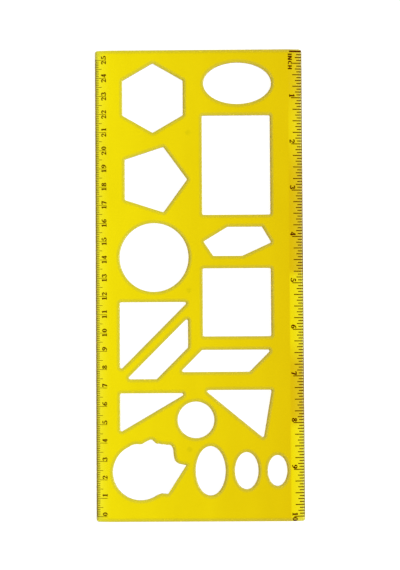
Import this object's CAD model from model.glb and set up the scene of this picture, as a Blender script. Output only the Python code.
"""A yellow see-through drawing template with two printed scales, lying on a white table.

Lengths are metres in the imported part's frame: the underside lies on z = 0, +Y runs to the hexagon end,
and the centimetre scale is on the -X edge.
"""

import math

import bmesh
import bpy
from mathutils import Matrix, Vector
from mathutils.bvhtree import BVHTree
from mathutils.geometry import delaunay_2d_cdt


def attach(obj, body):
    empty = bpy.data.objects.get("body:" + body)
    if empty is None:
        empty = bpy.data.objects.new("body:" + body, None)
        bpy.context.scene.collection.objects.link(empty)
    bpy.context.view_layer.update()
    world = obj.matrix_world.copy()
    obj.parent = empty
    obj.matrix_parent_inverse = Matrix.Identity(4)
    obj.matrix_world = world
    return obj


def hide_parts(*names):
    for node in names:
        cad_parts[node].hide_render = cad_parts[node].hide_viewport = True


MM = 0.001
WHITE = (1, 1, 1, 1)


def grey(level):
    return (level, level, level, 1)


# Camera, as the photograph was taken: nearly straight above the middle of the sheet
CAMERA_PLACE = Vector((6.97 * MM, -19.66 * MM, 701.7 * MM))
CAMERA_TURN = (math.radians(1.589), math.radians(0.547), math.radians(-0.363))
CAMERA_LENS = 80.87
CAMERA_SENSOR = 36.0

# Reading the CAD sheet: points closer than this are one, the normal of a wall rises less than this,
# and a wall lower than this belongs to a shallow mark
WELD_DISTANCE = 0.001 * MM
WALL_SLOPE = 0.2
LEAST_WALL = 0.5 * MM

# Rounded rims, the firm strip beside them, and the angle from which other edges look sharp
ROUND_WIDTH = 0.7 * MM
ROUND_DEPTH = 0.46 * MM
ROUND_SEGMENTS = 5
FIRM_WIDTH = 0.98 * MM
CREASE_ANGLE = math.radians(2)

# The rim's look: where it fades out on the flat face, and its share beside a lit wall and inside a mark
FADE_RINGS = (1.3 * MM, 1.7 * MM, 2.2 * MM)
FADE_STEP = 4 * MM
LIT_SHARE = 0.6
MARK_SHARE = 0.4

# Filling of the flat faces: triangles over the whole hull, and the distance at which points merge
FILL_HULL = 0
FILL_MERGE = WELD_DISTANCE / 10

# Colour of the plastic: its clear tint, slow changes along its flow, and its rims from none to full
TINT_COLOUR = (0.9962, 0.9672, 0.0138, 1)
TINT_DENSITY = 2900.0
REFRACTION = 1.49
FLOW_STRETCH = (1, 0.35, 1)
FLOW_NOISE = {"Scale": 45.0, "Detail": 3.0, "Roughness": 0.55}
FLOW_COLOURS = ((0.3, (0.95, 0.935, 0.85, 1)), (0.7, WHITE))
RIM_COLOURS = ((0.0, WHITE), (LIT_SHARE, (0.77, 0.81, 0.4, 1)), (1.0, (0.52, 0.45, 0.12, 1)))

# Wear of the rims
WEAR_NOISE = {"Scale": 900.0, "Detail": 4.0}
WEAR_RANGE = (0.25, 0.75)
WEAR_SHARES = (0.75, 1.0)

# Skin of the plastic: a range runs from the clear face to the full rim, or to a full scratch
CLEARNESS = (1.0, 0.75)
CLEARNESS_POWER = 2.0
FACE_ROUGHNESS = (0.05, 0.2)
RIM_ROUGHNESS = 0.45
RIPPLE_NOISE = {"Scale": 60.0, "Detail": 2.0}
RIPPLE_BUMP = {"Strength": 0.15, "Distance": 0.4 * MM}

# Hair scratches: the turn of each direction, and how far it squeezes the noise along the scratch
SCRATCH_DIRECTIONS = ((0.35, 0.02), (-1.1, 0.03))
SCRATCH_NOISE = {"Scale": 2600.0, "Detail": 2.0}
SCRATCH_RANGE = (0.62, 0.78)
SCRATCH_BUMP = {"Strength": 0.1, "Distance": 0.01 * MM}

# Ink: the dark and the pale colour of each scale, and the noise that mixes them
THIN_INK = ((0.12, 0.045, 0.001, 1), (0.2, 0.085, 0.003, 1))
THICK_INK = ((0.06, 0.004, 0.0, 1), (0.12, 0.012, 0.0, 1))
INK_NOISE = {"Scale": 1800.0, "Detail": 3.0}
INK_STOPS = (0.35, 0.75)
INK_ROUGHNESS = (0.35, 0.7)
INK_GLOSS = 0.0

# White table: its paper and glow as the camera sees them, and its colour as other things see it
FLOOR_HALF_WIDTH = 10.0
FLOOR_LEVEL = -0.3 * MM
PAPER_COLOUR = grey(0.3)
PAPER_GLOW = 0.92
TABLE_COLOUR = grey(0.85)

# Light that the table sends up through the sheet, at its left and right edge
TABLE_HALF_WIDTH = 55 * MM
TABLE_COLOURS = ((0.0, WHITE), (1.0, (0.865, 0.75, 0.77, 1)))

# Bright and dim stretches of the table under the inch edge: place along the edge and share of brightness
EDGE_START = 49 * MM
EDGE_BLEND = 0.6 * MM
EDGE_HALF_LENGTH = 130 * MM
EDGE_DIM = (0.835, 0.685, 0.74, 1)
EDGE_BRIGHT = (1.0, 0.975, 0.86, 1)
EDGE_LIGHT = (
    (-130 * MM, 1.0), (-79 * MM, 1.0), (-72 * MM, 0.0), (-44 * MM, 0.0), (-31 * MM, 1.0), (4 * MM, 1.0),
    (8 * MM, 0.0), (60 * MM, 0.0), (80 * MM, 0.6), (90 * MM, 0.6), (107 * MM, 0.2), (130 * MM, 0.2),
)

# Soft room: its brightness from the horizon up to overhead, and one large lamp to the right of the sheet
SKY_COLOURS = ((0.0, grey(0.8)), (0.95, grey(0.01)))
LAMP_PLACE = Vector((1.0, 0.0, 0.8))
LAMP_SIZE = 1.2
LAMP_POWER = 24

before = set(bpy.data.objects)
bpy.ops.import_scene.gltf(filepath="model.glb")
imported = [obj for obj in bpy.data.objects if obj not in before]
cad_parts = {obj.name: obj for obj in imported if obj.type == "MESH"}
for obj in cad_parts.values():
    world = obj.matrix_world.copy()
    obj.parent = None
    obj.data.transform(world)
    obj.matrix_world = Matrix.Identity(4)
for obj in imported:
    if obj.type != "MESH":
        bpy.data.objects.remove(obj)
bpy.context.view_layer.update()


def make_camera():
    data = bpy.data.cameras.new("camera")
    data.lens = CAMERA_LENS
    data.sensor_width = CAMERA_SENSOR
    camera = bpy.data.objects.new("camera", data)
    turn = Matrix.Identity(4)
    for angle, axis in zip(CAMERA_TURN, "XYZ"):
        turn = turn @ Matrix.Rotation(angle, 4, axis)
    camera.matrix_world = Matrix.Translation(CAMERA_PLACE) @ turn
    bpy.context.scene.collection.objects.link(camera)
    bpy.context.scene.camera = camera


class Nodes:
    """The node tree of a material or world. A value for an input is an output to link, or a plain value."""

    def __init__(self, owner):
        owner.use_nodes = True
        self.tree = owner.node_tree
        self.tree.nodes.clear()

    def fill(self, socket, value):
        if isinstance(value, bpy.types.NodeSocket):
            self.tree.links.new(value, socket)
        else:
            socket.default_value = value

    def add(self, kind, settings=None, **values):
        """A new node, with its inputs filled by name: an underscore stands for a space."""
        node = self.tree.nodes.new("ShaderNode" + kind)
        for name, value in (settings or {}).items():
            setattr(node, name, value)
        for name, value in values.items():
            self.fill(node.inputs[name.replace("_", " ")], value)
        return node

    def combine(self, kind, *values, **settings):
        """The output of a new node, with its inputs filled in order."""
        node = self.add(kind, settings)
        for socket, value in zip(node.inputs, values):
            self.fill(socket, value)
        return node.outputs[0]

    def mix(self, data_type, share, first, second, **settings):
        """The first value, mixed with the second by a share."""
        settings["data_type"] = data_type
        return self.add("Mix", settings, Factor=share, A=first, B=second).outputs["Result"]

    def noise(self, place, form):
        return self.add("TexNoise", Vector=place, **form).outputs["Fac"]

    def remap(self, value, old=(0.0, 1.0), new=(0.0, 1.0)):
        """The value, brought from its old range to a new one and kept inside it."""
        ranges = {"From_Min": old[0], "From_Max": old[1], "To_Min": new[0], "To_Max": new[1]}
        return self.add("MapRange", Value=value, **ranges).outputs[0]

    def ramp(self, share, colours):
        """The colour at a share, between pairs of a position and a colour."""
        node = self.add("ValToRGB", Fac=share)
        stops = node.color_ramp.elements
        for stop, (position, colour) in ((stops[0], colours[0]), (stops[1], colours[-1])):
            stop.position = position
            stop.color = colour
        for position, colour in colours[1:-1]:
            stops.new(position).color = colour
        return node.outputs["Color"]


def worn_rim(nodes, place):
    """Share of rim, from the mesh, uneven where pencils wear it."""
    rim = nodes.add("Attribute", {"attribute_name": "rim"}).outputs["Fac"]
    wear = nodes.remap(nodes.noise(place, WEAR_NOISE), WEAR_RANGE, WEAR_SHARES)
    return nodes.combine("Math", rim, wear, operation="MULTIPLY")


def hair_scratches(nodes, place):
    """Hair scratches in two directions, from 0 beside them to 1 on them."""
    directions = []
    for turn, squeeze in SCRATCH_DIRECTIONS:
        along = nodes.add("Mapping", Vector=place, Rotation=(0, 0, turn), Scale=(1, squeeze, 1))
        lines = nodes.noise(along.outputs[0], SCRATCH_NOISE)
        directions.append(nodes.remap(lines, SCRATCH_RANGE))
    return nodes.combine("Math", *directions, operation="MAXIMUM")


def make_sheet_plastic():
    """Yellow see-through plastic: the volume gives the tint, so thin places are paler."""
    material = bpy.data.materials.new("sheet_plastic_clear")
    nodes = Nodes(material)
    place = nodes.add("TexCoord").outputs["Object"]
    rim = worn_rim(nodes, place)
    scratches = hair_scratches(nodes, place)

    # Slow changes of tint along the flow of the plastic, and rims that scatter the light
    stretched = nodes.add("Mapping", Vector=place, Scale=FLOW_STRETCH).outputs[0]
    flow_colour = nodes.ramp(nodes.noise(stretched, FLOW_NOISE), FLOW_COLOURS)
    rim_colour = nodes.ramp(rim, RIM_COLOURS)
    colour = nodes.mix("RGBA", 1.0, flow_colour, rim_colour, blend_type="MULTIPLY")
    milky = nodes.combine("Math", rim, CLEARNESS_POWER, operation="POWER")
    clearness = nodes.remap(milky, new=CLEARNESS)

    # Rough rims, and scratches that only the gloss shows
    roughness = nodes.mix("FLOAT", rim, nodes.remap(scratches, new=FACE_ROUGHNESS), RIM_ROUGHNESS)
    ripple = nodes.add("Bump", Height=nodes.noise(place, RIPPLE_NOISE), **RIPPLE_BUMP)
    scored = nodes.add("Bump", {"invert": True}, Height=scratches, Normal=ripple.outputs[0], **SCRATCH_BUMP)

    shader = nodes.add(
        "BsdfPrincipled", Base_Color=colour, Roughness=roughness, Transmission_Weight=clearness,
        IOR=REFRACTION, Normal=scored.outputs[0],
    )
    tint = nodes.add("VolumeAbsorption", Color=TINT_COLOUR, Density=TINT_DENSITY)
    nodes.add("OutputMaterial", Surface=shader.outputs["BSDF"], Volume=tint.outputs["Volume"])
    return material


def make_ink(name, colours):
    """Brown screen ink with uneven density."""
    material = bpy.data.materials.new(name)
    nodes = Nodes(material)
    grain = nodes.noise(nodes.add("TexCoord").outputs["Object"], INK_NOISE)
    shader = nodes.add(
        "BsdfPrincipled", Base_Color=nodes.ramp(grain, list(zip(INK_STOPS, colours))),
        Roughness=nodes.remap(grain, new=INK_ROUGHNESS), Specular_IOR_Level=INK_GLOSS,
    )
    nodes.add("OutputMaterial", Surface=shader.outputs["BSDF"])
    return material


def underside_outlines(shape):
    """Outlines of the underside in plan, with the material on their left, and the height of their walls."""
    following = {}
    heights = {}
    for edge in shape.edges:
        walls = [face for face in edge.link_faces if abs(face.normal.z) < WALL_SLOPE]
        if len(walls) != 1 or max(vertex.co.z for vertex in edge.verts) > WELD_DISTANCE:
            continue
        for loop in edge.link_loops:
            if loop.face is not walls[0]:
                after = loop.link_loop_next.vert
                following[after] = loop.vert
                heights[after] = max(vertex.co.z for vertex in walls[0].verts)
    outlines = []
    while following:
        vertex = next(iter(following))
        height = heights[vertex]
        points = []
        while vertex in following:
            points.append(vertex.co.to_2d())
            vertex = following.pop(vertex)
        outlines.append((points, height))
    return outlines


def moved_in(points, distance):
    """A closed outline, moved towards the material on its left."""
    moved = []
    for index, corner in enumerate(points):
        before = (corner - points[index - 1]).normalized()
        after = (points[(index + 1) % len(points)] - corner).normalized()
        side_before = Vector((-before.y, before.x))
        side_after = Vector((-after.y, after.x))
        middle = (side_before + side_after).normalized()
        moved.append(corner + middle * (distance / middle.dot(side_after)))
    return moved


def with_crossings(points, level):
    """The outline with a point wherever it crosses the line at this x."""
    crossed = []
    for index, point in enumerate(points):
        after = points[(index + 1) % len(points)]
        crossed.append(point)
        if (point.x - level) * (after.x - level) < 0:
            crossed.append(point.lerp(after, (level - point.x) / (after.x - point.x)))
    return crossed


def in_steps(points, step):
    """The closed outline with more points on its long edges."""
    divided = []
    for index, point in enumerate(points):
        after = points[(index + 1) % len(points)]
        count = math.ceil((after - point).length / step)
        divided += [point.lerp(after, part / count) for part in range(count)]
    return divided


def wall_tree(outlines):
    """Upright walls on the outlines, to measure the distance to the nearest one."""
    corners = []
    walls = []
    for points in outlines:
        first = len(corners)
        corners += [(point.x, point.y, level) for point in points for level in (-1, 1)]
        for index in range(len(points)):
            low = first + 2 * index
            before = first + 2 * ((index - 1) % len(points))
            walls.append((before, low, low + 1, before + 1))
    return BVHTree.FromPolygons(corners, walls)


def rim_share(distance, facing):
    """Share of rim at a distance from a wall: more where the wall faces away from the lamp."""
    fade = max(0.0, 1 - (distance / FADE_RINGS[-1]) ** 2)
    return fade * (LIT_SHARE + (1 - LIT_SHARE) * max(0.0, -facing.x))


def rim_rows():
    """Rows of a rim from the wall to the flat face: distance from the wall, and drop below the face."""
    rows = []
    for step in range(ROUND_SEGMENTS + 1):
        angle = math.pi / 2 * step / ROUND_SEGMENTS
        rows.append((ROUND_WIDTH * (1 - math.cos(angle)), ROUND_DEPTH * (1 - math.sin(angle))))
    rows.append((FIRM_WIDTH, 0.0))
    return rows


def widest(rings):
    """The ring that reaches furthest along x, which is the sheet's own outline."""
    return max(rings, key=lambda ring: max(vertex.co.x for vertex in ring))


class Hole:
    """A closed outline that stays open in a face."""

    def __init__(self, points):
        self.points = points
        self.low = Vector((min(point.x for point in points), min(point.y for point in points)))
        self.high = Vector((max(point.x for point in points), max(point.y for point in points)))

    def holds(self, place):
        """Is the place inside the outline?"""
        if not (self.low.x < place.x < self.high.x and self.low.y < place.y < self.high.y):
            return False
        inside = False
        for index, point in enumerate(self.points):
            before = self.points[index - 1]
            if (point.y > place.y) != (before.y > place.y):
                if place.x < point.x + (before.x - point.x) * (place.y - point.y) / (before.y - point.y):
                    inside = not inside
        return inside


class Sheet:
    """The moulded sheet as a mesh with rounded rims, built on the outlines of the CAD sheet."""

    def __init__(self, cad):
        """Takes the height, the two bevels and the outlines from the CAD sheet."""
        self.top = max(vertex.co.z for vertex in cad.verts)
        half_width = max(vertex.co.x for vertex in cad.verts)
        edge_levels = [vertex.co.z for vertex in cad.verts if vertex.co.x > half_width - WELD_DISTANCE]
        self.crease = max(vertex.co.x for vertex in cad.verts if vertex.co.z > self.top - WELD_DISTANCE)
        self.slope = (self.top - max(edge_levels)) / (half_width - self.crease)
        self.through = []
        self.marks = []
        for points, height in underside_outlines(cad):
            if height > LEAST_WALL:
                self.through.append(with_crossings(with_crossings(points, self.crease), -self.crease))
            else:
                self.marks.append((points, height))
        self.walls = wall_tree(self.through)
        self.shape = bmesh.new()
        self.rim_layer = self.shape.verts.layers.float.new("rim")
        self.rounded = set()

    def nearest_wall(self, place):
        """Distance to the nearest wall, and the direction in which that wall faces."""
        _, facing, _, distance = self.walls.find_nearest(place.to_3d())
        return distance, facing

    def new_vertex(self, place, up, drop=0.0):
        """A vertex inside the upper face, which slopes down beyond the creases, or inside the underside."""
        if up:
            level = self.top - self.slope * max(0.0, abs(place.x) - self.crease) - drop
        else:
            level = drop
        vertex = self.shape.verts.new((place.x, place.y, level))
        vertex[self.rim_layer] = rim_share(*self.nearest_wall(place))
        return vertex

    def add_band(self, low, high, flipped=False):
        """Faces between two closed rows of vertices."""
        for index in range(len(low)):
            corners = (low[index - 1], low[index], high[index], high[index - 1])
            self.shape.faces.new(reversed(corners) if flipped else corners)

    def add_rim(self, points, up):
        """A rounded rim on an outline: returns its row on the wall and its row on the flat face."""
        rows = []
        for distance, drop in rim_rows():
            rows.append([self.new_vertex(place, up, drop) for place in moved_in(points, distance)])
        for outer_row, inner_row in zip(rows, rows[1:]):
            self.add_band(outer_row, inner_row, not up)
        self.rounded.update(vertex for row in rows for vertex in row)
        return rows[0], rows[-1]

    def add_mark(self, points, height):
        """A shallow mark in the underside, with a plain edge: returns its row on the underside."""
        low = [self.new_vertex(place, False) for place in points]
        high = [self.new_vertex(place, False, height) for place in points]
        for vertex in high:
            vertex[self.rim_layer] = MARK_SHARE
        self.add_band(low, high)
        self.shape.faces.new(high)
        return low

    def fade_rings(self, up):
        """Vertices on the flat face beside the rims, where the rim's look fades out, and their edges."""
        vertices = []
        edges = []
        for points in self.through:
            for distance in FADE_RINGS:
                ring = []
                for place in in_steps(moved_in(points, distance), FADE_STEP):
                    free = self.nearest_wall(place)[0] > distance - WELD_DISTANCE
                    ring.append(self.new_vertex(place, up) if free else None)
                vertices += [vertex for vertex in ring if vertex]
                pairs = [(ring[index - 1], vertex) for index, vertex in enumerate(ring)]
                edges += [pair for pair in pairs if all(pair)]
        return vertices, edges

    def fill_face(self, rings, more_vertices, more_edges, up):
        """Triangles between closed rings of vertices, where every ring but the widest is a hole."""
        vertices = [vertex for ring in rings for vertex in ring] + more_vertices
        number = {vertex: index for index, vertex in enumerate(vertices)}
        edges = [(number[start], number[end]) for start, end in more_edges]
        for ring in rings:
            edges += [(number[ring[index - 1]], number[vertex]) for index, vertex in enumerate(ring)]
        places = [vertex.co.to_2d() for vertex in vertices]
        spots, _, triangles, sources, _, _ = delaunay_2d_cdt(places, edges, [], FILL_HULL, FILL_MERGE)
        corners = []
        for spot, known in zip(spots, sources):
            corners.append(vertices[known[0]] if known else self.new_vertex(spot, up))
        outer = widest(rings)
        holes = [Hole([vertex.co.to_2d() for vertex in ring]) for ring in rings if ring is not outer]
        for face in triangles:
            middle = sum((spots[index] for index in face), Vector((0, 0))) / len(face)
            if not any(hole.holds(middle) for hole in holes):
                order = face if up else reversed(face)
                self.shape.faces.new([corners[index] for index in order])

    def add_side(self, up):
        """The upper side or the underside with its rims: returns the rows where its walls start."""
        wall_rows = []
        rings = []
        for points in self.through:
            wall_row, face_row = self.add_rim(points, up)
            wall_rows.append(wall_row)
            rings.append(face_row)
        vertices, edges = self.fade_rings(up)
        if up:
            outer = widest(rings)
            for side in (self.crease, -self.crease):
                edges.append([vertex for vertex in outer if abs(vertex.co.x - side) < WELD_DISTANCE])
        else:
            rings += [self.add_mark(points, height) for points, height in self.marks]
        self.fill_face(rings, vertices, edges, up)
        return wall_rows

    def smooth(self):
        """Shades the sheet smooth, apart from plain edges away from the rims."""
        self.shape.normal_update()
        for face in self.shape.faces:
            face.smooth = True
        for edge in self.shape.edges:
            by_rim = any(vertex in self.rounded for vertex in edge.verts)
            edge.smooth = by_rim or edge.calc_face_angle(0) < CREASE_ANGLE


def make_sheet(material):
    """The moulded sheet, which stands for the CAD node."""
    cad = bmesh.new()
    cad.from_mesh(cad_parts["template_sheet"].data)
    bmesh.ops.remove_doubles(cad, verts=cad.verts, dist=WELD_DISTANCE)
    cad.normal_update()
    moulded = Sheet(cad)
    cad.free()
    high_rows = moulded.add_side(up=True)
    low_rows = moulded.add_side(up=False)
    for low, high in zip(low_rows, high_rows):
        moulded.add_band(low, high)
    moulded.smooth()

    data = bpy.data.meshes.new("moulded_sheet")
    moulded.shape.to_mesh(data)
    moulded.shape.free()
    data.materials.append(material)
    sheet = bpy.data.objects.new("moulded_sheet", data)
    bpy.context.scene.collection.objects.link(sheet)
    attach(sheet, "root")
    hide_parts("template_sheet")


def table_light(nodes):
    """Light of the table as the sheet shows it: duller to the right, and uneven under the inch edge."""
    place = nodes.add("TexCoord").outputs["Object"]
    axes = nodes.add("SeparateXYZ", Vector=place).outputs
    across = nodes.remap(axes["X"], (-TABLE_HALF_WIDTH, TABLE_HALF_WIDTH))
    along = nodes.remap(axes["Y"], (-EDGE_HALF_LENGTH, EDGE_HALF_LENGTH))
    stretches = []
    for level, share in EDGE_LIGHT:
        stretches.append(((level + EDGE_HALF_LENGTH) / (2 * EDGE_HALF_LENGTH), grey(share)))
    edge_light = nodes.mix("RGBA", nodes.ramp(along, stretches), EDGE_DIM, EDGE_BRIGHT)
    beyond = nodes.remap(axes["X"], (EDGE_START, EDGE_START + EDGE_BLEND))
    return nodes.mix("RGBA", beyond, nodes.ramp(across, TABLE_COLOURS), edge_light)


def make_table_material():
    """White to the camera apart from the shadow, a glow to gloss and clear plastic, and pale to the rest."""
    material = bpy.data.materials.new("white_table")
    nodes = Nodes(material)
    ray = nodes.add("LightPath").outputs
    paper = nodes.add("BsdfDiffuse", Color=PAPER_COLOUR).outputs[0]
    glow = nodes.add("Emission", Strength=PAPER_GLOW).outputs[0]
    to_camera = nodes.combine("AddShader", paper, glow)
    to_room = nodes.add("BsdfDiffuse", Color=TABLE_COLOUR).outputs[0]
    plain = nodes.combine("MixShader", ray["Is Camera Ray"], to_room, to_camera)
    to_sheet = nodes.add("Emission", Color=table_light(nodes), Strength=1.0).outputs[0]
    clear = nodes.combine("Math", ray["Is Glossy Ray"], ray["Is Transmission Ray"], operation="MAXIMUM")
    nodes.add("OutputMaterial", Surface=nodes.combine("MixShader", clear, plain, to_sheet))
    return material


def make_floor():
    size = FLOOR_HALF_WIDTH
    corners = [(x * size, y * size, FLOOR_LEVEL) for x, y in ((-1, -1), (1, -1), (1, 1), (-1, 1))]
    data = bpy.data.meshes.new("floor")
    data.from_pydata(corners, [], [(0, 1, 2, 3)])
    data.materials.append(make_table_material())
    floor = bpy.data.objects.new("floor", data)
    bpy.context.scene.collection.objects.link(floor)


def make_world():
    """A room that is pale near the horizon and dark overhead."""
    world = bpy.data.worlds.new("studio")
    bpy.context.scene.world = world
    nodes = Nodes(world)
    direction = nodes.add("TexCoord").outputs["Generated"]
    height = nodes.add("SeparateXYZ", Vector=direction).outputs["Z"]
    sky = nodes.add("Background", Color=nodes.ramp(height, SKY_COLOURS))
    nodes.add("OutputWorld", Surface=sky.outputs[0])


def make_lamp():
    """One large soft lamp, turned to the middle of the sheet."""
    data = bpy.data.lights.new("key", "AREA")
    data.shape = "SQUARE"
    data.size = LAMP_SIZE
    data.energy = LAMP_POWER
    lamp = bpy.data.objects.new("key", data)
    turn = (-LAMP_PLACE).to_track_quat("-Z", "Y").to_matrix().to_4x4()
    lamp.matrix_world = Matrix.Translation(LAMP_PLACE) @ turn
    bpy.context.scene.collection.objects.link(lamp)


make_camera()
bpy.context.scene.view_settings.view_transform = "Standard"
make_floor()
make_world()
make_lamp()
make_sheet(make_sheet_plastic())
thin_ink = make_ink("printing_ink_brown", THIN_INK)
thick_ink = make_ink("printing_ink_dark", THICK_INK)
for name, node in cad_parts.items():
    if name != "template_sheet":
        node.material_slots[0].material = thin_ink if name.startswith("cm") else thick_ink
